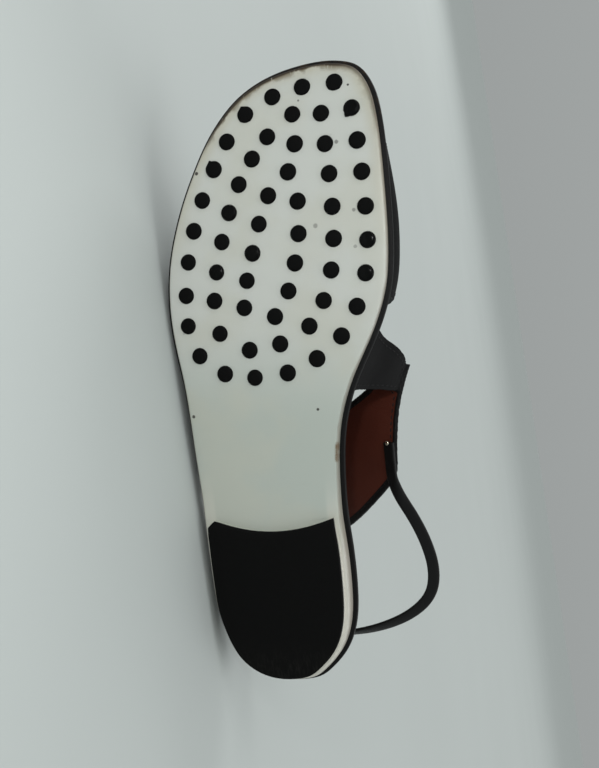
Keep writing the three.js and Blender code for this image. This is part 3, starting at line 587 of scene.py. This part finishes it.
def sharp_points(piece, angle, spacing):
    """Points along the sharp edges of a piece, at most spacing metres apart."""
    cast = bmesh.new()
    cast.from_mesh(piece.data)
    cast.normal_update()
    points = []
    for edge in cast.edges:
        if len(edge.link_faces) == 2 and edge.calc_face_angle(0) > math.radians(angle):
            a, b = (v.co.copy() for v in edge.verts)
            count = max(1, math.ceil((b - a).length / spacing))
            points.extend(a.lerp(b, i / count) for i in range(count + 1))
    cast.free()
    return np.array(points)


def nearest(spots, points):
    """Distance from each spot to the nearest of the points."""
    gaps = np.empty(len(spots))
    for start in range(0, len(spots), 2000):
        part = spots[start : start + 2000, None] - points[None]
        gaps[start : start + 2000] = np.sqrt((part**2).sum(2)).min(1)
    return gaps


def vertex_spots(piece):
    spots = np.empty(3 * len(piece.data.vertices))
    piece.data.vertices.foreach_get("co", spots)
    return spots.reshape(-1, 3)


def soften(piece, voxel, rounds):
    """Rounds every corner of a piece by about a voxel's size."""
    only(piece)
    piece.data.remesh_voxel_size = voxel
    bpy.ops.object.voxel_remesh()
    smooth = piece.modifiers.new("smooth", "SMOOTH")
    smooth.factor = 0.5
    smooth.iterations = rounds
    bpy.ops.object.modifier_apply(modifier="smooth")
    bpy.ops.object.shade_smooth()


def over_bed(points):
    """Distance of each point from the footbed, in millimetres."""
    cast = bmesh.new()
    for node in ("midsole", "insole"):
        cast.from_mesh(frame["nodes"][node].data)
    bed = BVHTree.FromBMesh(cast)
    cast.free()
    return np.array([bed.find_nearest(Vector(point))[3] for point in points]) / mm


# Creases of wear across the bands: place along the shoe and turn round the last in degrees from its
# top, medial negative, of their middle, slope in mm for each degree, spread in degrees, width and depth.
last_centre = (-2.0, 18.0)
band_creases = (
    {"along": 177, "turn": -8, "slope": -0.1, "spread": 42, "wide": 4.0, "deep": 0.8},
    {"along": 188, "turn": 14, "slope": -0.16, "spread": 30, "wide": 3.4, "deep": 0.5},
    {"along": 166, "turn": -26, "slope": 0.05, "spread": 26, "wide": 3.0, "deep": 0.5},
    {"along": 200, "turn": -34, "slope": -0.12, "spread": 22, "wide": 3.0, "deep": 0.4},
    {"along": 97, "turn": 22, "slope": 0.28, "spread": 30, "wide": 3.6, "deep": 0.7},
    {"along": 84, "turn": 6, "slope": 0.3, "spread": 24, "wide": 3.0, "deep": 0.5},
    {"along": 112, "turn": 58, "slope": 0.2, "spread": 18, "wide": 3.0, "deep": 0.45},
)
ridge_share = 0.35
ridge_gap = 1.9
sway = 0.28
sway_length = 24.0
# The bands are stiff up to the first height over the footbed, and wear fully from the second.
still_height = 2.0
free_height = 12.0


def wear_in(piece):
    """Presses the creases and a slight sway into the bands, and none where they stand on the bed."""
    spots = shoe_places(piece)
    rise = over_bed(vertex_spots(piece)) - still_height
    hold = np.clip(rise / (free_height - still_height), 0, 1)
    across, height = spots[:, 0] - last_centre[0], spots[:, 2] - last_centre[1]
    turns = np.degrees(np.arctan2(across, height))
    lift = np.array([noise.noise(Vector(spot / sway_length)) for spot in spots]) * sway
    for fold in band_creases:
        off = (turns - fold["turn"]) / fold["spread"]
        gap = (spots[:, 1] - fold["along"] - fold["slope"] * (turns - fold["turn"])) / fold["wide"]
        trough = np.exp(-(gap**2)) - ridge_share * np.exp(-((np.abs(gap) - ridge_gap) ** 2))
        lift -= fold["deep"] * trough * np.exp(-(off**2))
    sines, cosines = np.sin(np.radians(turns)), np.cos(np.radians(turns))
    outward = np.stack([sines, np.zeros(len(turns)), cosines], 1)
    shift = (outward * (lift * hold)[:, None]) @ shoe_axes * mm
    piece.data.vertices.foreach_set("co", (vertex_spots(piece) + shift).ravel())
    piece.data.update()


edge_points = sharp_points(upper, 50, 1.2 * mm)
edge_points = edge_points[over_bed(edge_points) > 1.2]
refine(upper, 50, 2)
soften(upper, 0.8 * mm, 6)
store(upper, "edge", nearest(vertex_spots(upper), edge_points) / mm)
wear_in(upper)

# The stitches' inset, the width of the folded border, and its width at the instep band's medial end, past
# a corner given across and along the shoe, in millimetres.
stitch_inset = 2.4
border = 3.2
slim_border = 1.5
slim_corner = (-32, 94)


def seam_groove(hem):
    """1 along the line of the stitches, and 0 from 0.8 mm beside it."""
    return hem.ramp(stitch_inset - 0.8, stitch_inset) * hem.ramp(stitch_inset + 0.8, stitch_inset)


calf, colour, height, rough = leather("black_calf", tone(6, 6, 7), tone(15, 15, 16), 0.32)
hem = calf.stored("edge")
groove = seam_groove(hem)
crackle = calf.noise(1.0, 5.0, 0.7, calf.stretched((150.0, 420.0, 150.0)))
rubbed = hem.ramp(0.9, 0.1) * crackle.ramp(0.45, 0.7)
matt_side = calf.stored("across").ramp(-24, -38)
coat_calf = calf.surface(
    Base_Color=calf.blend(rubbed * 0.3, colour, tone(46, 44, 41)),
    Specular_IOR_Level=1.5 * dull,
    Roughness=rough + 0.12 * crackle + 0.2 * matt_side,
    Normal=calf.relief(height - groove * 1.6 + crackle * 0.8, 0.35, 0.16 * mm),
)
# The lining's brown is painted darker than the leather's own colour: painted shade, for the shadow that it
# lay in beside the other shoe of the pair.
lining, colour, height, rough = leather("brown_lining_painted_shade", tone(76, 34, 23), tone(100, 48, 33), 0.5)
inner_edge = lining.stored("edge")
reach = lining.stored("border")
folded = (inner_edge - reach).ramp(0.0, -0.3)
groove = seam_groove(inner_edge)
coat_lining = lining.surface(
    Base_Color=lining.blend(folded, colour, tone(9, 9, 9)),
    Specular_IOR_Level=3 * dull,
    Roughness=rough,
    Normal=lining.relief(height + folded * 2.5 - groove * 1.6, 0.35, 0.16 * mm),
)
coat(upper, coat_calf, coat_lining)
spots = shoe_places(upper)
slim = np.clip((slim_corner[0] - spots[:, 0]) / 4, 0, 1)
slim = slim * np.clip((spots[:, 1] - slim_corner[1]) / 4, 0, 1)
store(upper, "border", border + (slim_border - border) * slim)
store(upper, "across", spots[:, 0])
normals = np.empty(3 * len(upper.data.polygons))
upper.data.polygons.foreach_get("normal", normals)
normals = normals.reshape(-1, 3) @ shoe_axes.T
middles = np.array([spots[list(face.vertices)].mean(0) for face in upper.data.polygons])
from_centre = middles[:, ::2] - np.array(last_centre)
inner = (from_centre * normals[:, ::2]).sum(1) < 0
upper.data.polygons.foreach_set("material_index", inner.astype(np.int32))
fit(upper, "black_leather", "upper")

# Stitching
# A row of black thread runs along each folded edge of the bands, through calf and lining, and holds
# them together.
stitch_pitch = 3.0 * mm
stitch_size = (1.15 * mm, 0.27 * mm, 0.24 * mm)
stitch_bow = 0.22 * mm
stitch_lift = 0.06 * mm
stitch_step = 0.3 * mm
shortest_seam = 12 * mm


def seam_paths(piece, inset):
    """The lines on a piece that lie the inset in millimetres from its edges: spots with normals."""
    mesh = piece.data
    gaps = np.empty(len(mesh.vertices))
    mesh.attributes["edge"].data.foreach_get("value", gaps)
    beside = {}
    for face in mesh.polygons:
        corners = list(face.vertices)
        sides = [tuple(sorted(pair)) for pair in zip(corners, corners[1:] + corners[:1])]
        crossed = [(a, b) for a, b in sides if (gaps[a] < inset) != (gaps[b] < inset)]
        if len(crossed) == 2:
            beside.setdefault(crossed[0], []).append(crossed[1])
            beside.setdefault(crossed[1], []).append(crossed[0])
    ends = [side for side, others in beside.items() if len(others) == 1]
    left = set(beside)
    paths = []
    for start in ends + list(beside):
        path = []
        here = start
        while here in left:
            left.remove(here)
            path.append(here)
            here = next((side for side in beside[here] if side in left), here)
        if len(path) > 1:
            shares = [(inset - gaps[a]) / (gaps[b] - gaps[a]) for a, b in path]
            corners = [[mesh.vertices[i] for i in side] for side in path]
            spots = [a.co.lerp(b.co, share) for (a, b), share in zip(corners, shares)]
            normals = [(a.normal + b.normal) / 2 for a, b in corners]
            paths.append((np.array(spots), np.array(normals)))
    return paths


def evened(values, reach=4):
    """A running mean that keeps the ends."""
    padded = np.concatenate([values[:1]] * reach + [values] + [values[-1:]] * reach)
    return sum(padded[i : i + len(values)] for i in range(2 * reach + 1)) / (2 * reach + 1)


def make_stitch():
    """One bowed thread along X at the origin, its ends drawn in."""
    bpy.ops.object.select_all(action="DESELECT")
    bpy.ops.mesh.primitive_uv_sphere_add(segments=10, ring_count=6, radius=1.0)
    stitch = bpy.context.active_object
    bpy.ops.object.mode_set(mode="EDIT")
    bpy.ops.mesh.select_all(action="SELECT")
    bpy.ops.transform.resize(value=stitch_size)
    bpy.ops.object.mode_set(mode="OBJECT")
    for vertex in stitch.data.vertices:
        vertex.co.z -= stitch_bow * (vertex.co.x / stitch_size[0]) ** 2
    only(stitch)
    bpy.ops.object.shade_smooth()
    return stitch


pattern = make_stitch()
stitches = []
for spots, normals in seam_paths(upper, stitch_inset):
    spots = evened(spots)
    steps = np.linalg.norm(np.diff(spots, axis=0), axis=1)
    reach = np.concatenate([[0.0], np.cumsum(steps)])
    if reach[-1] < shortest_seam:
        continue
    count = round(reach[-1] / stitch_pitch)
    for place in (np.arange(count) + 0.5) * reach[-1] / count:
        spot, ahead = (
            Vector([np.interp(far, reach, spots[:, axis]) for axis in range(3)])
            for far in (place, place + stitch_step)
        )
        up = Vector([np.interp(place, reach, normals[:, axis]) for axis in range(3)])
        run = (ahead - spot).normalized()
        side = up.cross(run).normalized()
        up = run.cross(side)
        stitch = copy_of(pattern)
        turn = Matrix((run, side, up)).transposed().to_4x4()
        stitch.data.transform(Matrix.Translation(spot + up * stitch_lift) @ turn)
        stitches.append(stitch)
bpy.data.objects.remove(pattern)
thread = joined(stitches, "black_stitching")

linen = Finish("black_thread")
strand = linen.noise(5200.0, 2.0)
coat(
    thread,
    linen.surface(
        Base_Color=linen.blend(strand, tone(10, 10, 10), tone(30, 30, 30)),
        Specular_IOR_Level=3 * dull,
        Roughness=0.55 + 0.2 * strand,
        Normal=linen.relief(strand, 0.4, 0.05 * mm),
    ),
)
fit(thread, "black_leather")

# Ankle strap and buckle
# A narrow folded strap runs from the instep band round the heel to a pale metal buckle, whose short
# strap and keeper are of the same calf. A small rivet holds its start inside the band.
cut_calf, colour, height, rough = leather("black_strap_calf", tone(6, 6, 7), tone(14, 14, 15), 0.36)
paint = cut_calf.stored("edge")
painted = paint.ramp(0.7, 0.3)
coat_strap = cut_calf.surface(
    Base_Color=cut_calf.blend(painted, colour, tone(8, 8, 8)),
    Specular_IOR_Level=3 * dull,
    Roughness=rough - 0.06 * painted,
    Normal=cut_calf.relief(height + paint.ramp(0.5, 1.1) * 0.9, 0.35, 0.14 * mm),
)
# Holes of the strap, in the buckle's own axes: along the strap, outwards and across, in millimetres.
buckle_place = in_shoe(28.98, 47.76, 42.64)
buckle_along = lateral_way * 0.11 + toe_way * 0.993 - top_way * 0.03
buckle_out = lateral_way * 0.994 - toe_way * 0.11
buckle_across = buckle_along.cross(buckle_out)
strap_holes = (
    {"along": -26.0, "out": -1.8, "across": -1.7},
    {"along": -19.5, "out": -2.0, "across": -0.4},
    {"along": -13.0, "out": -2.1, "across": 0.0},
    {"along": 20.5, "out": 2.4, "across": 0.0},
)
hole_radius = 0.75 * mm


def punch(strap):
    """Cuts the holes through the strap."""
    for hole in strap_holes:
        spot = buckle_place + buckle_along * hole["along"] * mm
        spot += (buckle_out * hole["out"] + buckle_across * hole["across"]) * mm
        turn = buckle_out.to_track_quat("Z", "Y").to_euler()
        bpy.ops.object.select_all(action="DESELECT")
        bpy.ops.mesh.primitive_cylinder_add(
            vertices=20, radius=hole_radius, depth=5 * mm, location=spot, rotation=turn
        )
        punch_pin = bpy.context.active_object
        only(strap)
        cut = strap.modifiers.new("hole", "BOOLEAN")
        cut.operation = "DIFFERENCE"
        cut.object = punch_pin
        bpy.ops.object.modifier_apply(modifier="hole")
        bpy.data.objects.remove(punch_pin)


for node, name, voxel in (
    ("ankle_strap", "leather_ankle_strap", 0.35),
    ("buckle_strap", "leather_buckle_strap", 0.3),
    ("strap_keeper", "leather_keeper", 0.3),
):
    strap = begin_from(node, name)
    edge_points = sharp_points(strap, 40, 0.6 * mm)
    refine(strap, 50, 2)
    if node == "ankle_strap":
        punch(strap)
    soften(strap, voxel * mm, 4)
    store(strap, "edge", nearest(vertex_spots(strap), edge_points) / mm)
    coat(strap, coat_strap)
    fit(strap, "black_leather", node)

pale = Finish("pale_metal")
brush = pale.noise(900.0, 4.0, 0.6)
coat_metal = pale.surface(
    Base_Color=pale.blend(brush * 0.5, tone(214, 208, 190), tone(186, 180, 160)),
    Metallic=1.0,
    Roughness=0.18 + 0.16 * brush,
    Normal=pale.relief(brush, 0.15, 0.03 * mm),
)
for node, name in (("buckle_frame", "metal_buckle_frame"), ("buckle_prong", "metal_buckle_prong")):
    metal = begin_from(node, name)
    refine(metal, 50, 2, 0.5)
    soften(metal, 0.16 * mm, 4)
    coat(metal, coat_metal)
    fit(metal, "pale_metal", node)

rivet_place = in_shoe(-39.6, 99.0, 42.7)
rivet_out = lateral_way * 0.4 - toe_way * 0.1 - top_way * 0.91
rivet_profile = ((1.0, 0.1), (0.96, 0.4), (0.78, 0.75), (0.45, 0.96))
rivet = make_dome(1.0 * mm, 0.55 * mm, 0.98 * mm, rivet_profile)
rivet.name = "metal_rivet"
rivet_turn = rivet_out.to_track_quat("-Z", "Y").to_matrix().to_4x4()
rivet.data.transform(Matrix.Translation(rivet_place) @ rivet_turn)
only(rivet)
bpy.ops.object.shade_smooth_by_angle(angle=math.radians(50))
coat(rivet, coat_metal)
fit(rivet, "pale_metal")

# Floor, light and camera
# A plain pale floor, a wide light overhead, four soft ones around and a small one by the lens, and the
# camera where the photograph's was, turned with the shoe and closed in on it.
bpy.ops.object.select_all(action="DESELECT")
bpy.ops.mesh.primitive_circle_add(vertices=96, radius=30.0, fill_type="NGON", location=(0, 0, -0.0001))
floor = bpy.context.active_object
floor.name = "floor"
paper = Finish("pale_floor")
mottle = paper.noise(3.0, 2.0)
coat(
    floor,
    paper.surface(
        Base_Color=paper.blend(mottle, tone(180, 186, 184), tone(185, 191, 189)),
        Roughness=0.7,
    ),
)

# The room's light is even at the horizon and a little brighter overhead.
room_strength = 0.54
overhead_gain = 1.4
world = bpy.data.worlds.new("room")
bpy.context.scene.world = world
world.use_nodes = True
room = world.node_tree
ground = room.nodes["Background"]
ground.inputs["Strength"].default_value = room_strength
ray = room.nodes.new("ShaderNodeTexCoord")
split = room.nodes.new("ShaderNodeSeparateXYZ")
room.links.new(ray.outputs["Generated"], split.inputs[0])
lift_up = room.nodes.new("ShaderNodeMapRange")
lift_up.inputs["To Min"].default_value = 0.0
room.links.new(split.outputs["Z"], lift_up.inputs["Value"])
sky = room.nodes.new("ShaderNodeMix")
sky.data_type = "RGBA"
horizon = np.array(tone(206, 211, 210))
room.links.new(lift_up.outputs[0], sky.inputs[0])
sky.inputs[6].default_value = horizon
sky.inputs[7].default_value = (*(horizon[:3] * overhead_gain), 1.0)
room.links.new(sky.outputs[2], ground.inputs["Color"])

eye = Vector((-5.66, -388.92, 148.97)) * mm
eye_up = Vector((-0.9888, 0.0386, 0.1443))
target = Vector((2.0, -20.0, 52.0)) * mm


def hang(light, spot):
    """Puts a light in the scene, turned towards the shoe."""
    holder = bpy.data.objects.new(light.name, light)
    bpy.context.collection.objects.link(holder)
    holder.location = spot
    holder.rotation_euler = (target - spot).to_track_quat("-Z", "Y").to_euler()


lamps = (
    {"name": "lens_light", "spot": eye + Vector((-0.1, 0.0, -0.015)), "size": 0.03, "power": 0.27},
    {"name": "front_softbox", "spot": Vector((-0.9, -3.0, 1.9)), "size": 2.0, "power": 15.0},
    {"name": "toe_softbox", "spot": Vector((-2.25, -1.25, 2.0)), "size": 2.25, "power": 14.0},
    {"name": "back_softbox", "spot": Vector((-2.75, 2.5, 2.0)), "size": 2.25, "power": 50.0},
    {"name": "heel_softbox", "spot": Vector((3.0, 1.75, 2.25)), "size": 2.25, "power": 20.0},
)
for lamp in lamps:
    light = bpy.data.lights.new(lamp["name"], "AREA")
    light.shape = "DISK"
    light.size = lamp["size"]
    light.energy = lamp["power"]
    hang(light, lamp["spot"])

ceiling = bpy.data.lights.new("ceiling_light", "SUN")
ceiling.energy = 0.75
ceiling.angle = math.radians(40)
hang(ceiling, target + Vector((0.5, -0.2, 1.5)))

lens = bpy.data.cameras.new("camera")
camera = bpy.data.objects.new("camera", lens)
bpy.context.collection.objects.link(camera)
away = (eye - target).normalized()
side = eye_up.cross(away).normalized()
rise = away.cross(side)
turn = Matrix((side, rise, away)).transposed()
camera.matrix_world = Matrix.Translation(eye) @ turn.to_4x4()
picture_height = 768
focal_pixels = 880
lens.sensor_fit = "VERTICAL"
lens.sensor_height = 24.0
lens.lens = lens.sensor_height * focal_pixels / picture_height
lens.clip_start = 0.01
bpy.context.scene.camera = camera
bpy.context.scene.view_settings.view_transform = "Standard"
